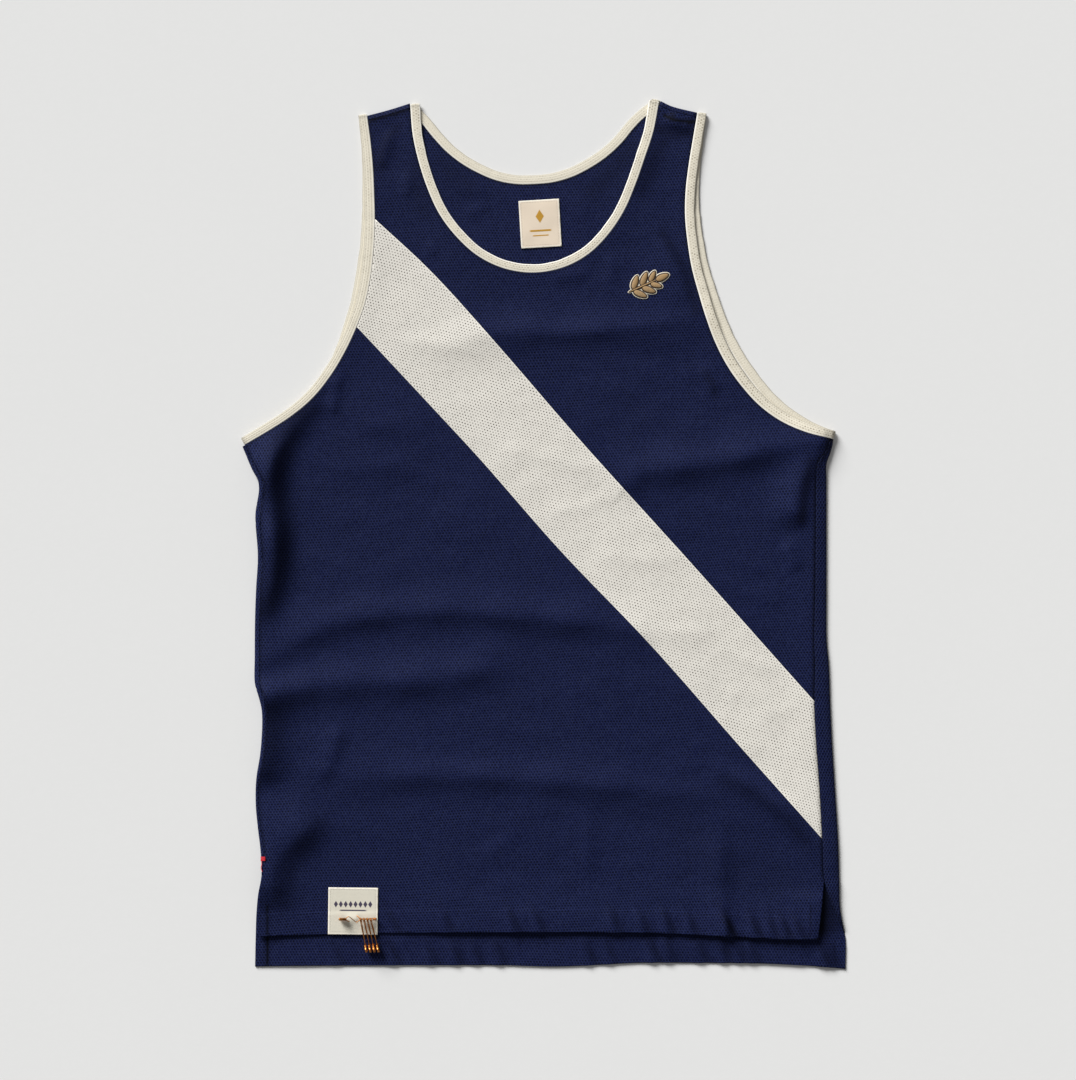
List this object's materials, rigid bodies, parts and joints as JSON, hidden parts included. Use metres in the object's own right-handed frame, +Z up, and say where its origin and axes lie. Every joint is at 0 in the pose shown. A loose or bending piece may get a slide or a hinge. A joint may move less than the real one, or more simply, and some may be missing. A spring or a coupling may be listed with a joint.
{
  "type": "running singlet",
  "caption": "Sleeveless running singlet in mesh knit, laid flat on its back: diagonal front sash, bound neck and armholes, dropped back hem, side slits and safety pins hung from the hem label.",
  "frame": {"origin": "on the surface that the garment lies on, under the middle of its bounding box", "axes": "+Z up off the surface, +Y along the body towards the neck, +X to the viewer's right when the front is seen from above"},
  "size_m": [0.493, 0.7107, 0.0104],
  "materials": {
    "navy_mesh": "open mesh knit, matt navy",
    "cream_mesh": "open mesh knit, matt cream",
    "binding_mesh": "folded mesh binding, matt cream",
    "label_weave": "woven label, matt cream",
    "gold_thread": "embroidery thread, satin gold",
    "red_thread": "sewing thread, red",
    "brass": "plated wire and sheet, polished"
  },
  "bodies": {
    "garment": {"back_panel": "navy_mesh", "front_upper_panel": "navy_mesh", "front_sash_panel": "cream_mesh", "front_lower_panel": "navy_mesh", "neck_binding_front": "binding_mesh", "neck_binding_back": "binding_mesh", "left_armhole_binding_front": "binding_mesh", "left_armhole_binding_back": "binding_mesh", "right_armhole_binding_front": "binding_mesh", "right_armhole_binding_back": "binding_mesh", "neck_label": "label_weave", "hem_label": "label_weave", "chest_sprig": "gold_thread", "side_bar_tack": "red_thread", "holder_pin_wire": "brass", "holder_pin_cap": "brass"},
    "pin_1": {"hanging_pin_1_wire": "brass", "hanging_pin_1_cap": "brass"},
    "pin_2": {"hanging_pin_2_wire": "brass", "hanging_pin_2_cap": "brass"},
    "pin_3": {"hanging_pin_3_wire": "brass", "hanging_pin_3_cap": "brass"},
    "pin_4": {"hanging_pin_4_wire": "brass", "hanging_pin_4_cap": "brass"}
  },
  "joints": [
    {"name": "pin_1_swing", "type": "hinge", "parent": "garment", "child": "pin_1", "pos_m": [-0.1402, -0.31413, 0.00815], "axis": [-0.9986, 0.0205, 0.0485], "range_deg": [0, 165]},
    {"name": "pin_2_swing", "type": "hinge", "parent": "garment", "child": "pin_2", "pos_m": [-0.14295, -0.31408, 0.00829], "axis": [-0.9986, 0.0205, 0.0485], "range_deg": [0, 165]},
    {"name": "pin_3_swing", "type": "hinge", "parent": "garment", "child": "pin_3", "pos_m": [-0.14569, -0.31402, 0.00842], "axis": [-0.9986, 0.0205, 0.0485], "range_deg": [0, 165]},
    {"name": "pin_4_swing", "type": "hinge", "parent": "garment", "child": "pin_4", "pos_m": [-0.14844, -0.31397, 0.00856], "axis": [-0.9986, 0.0205, 0.0485], "range_deg": [0, 165]}
  ]
}
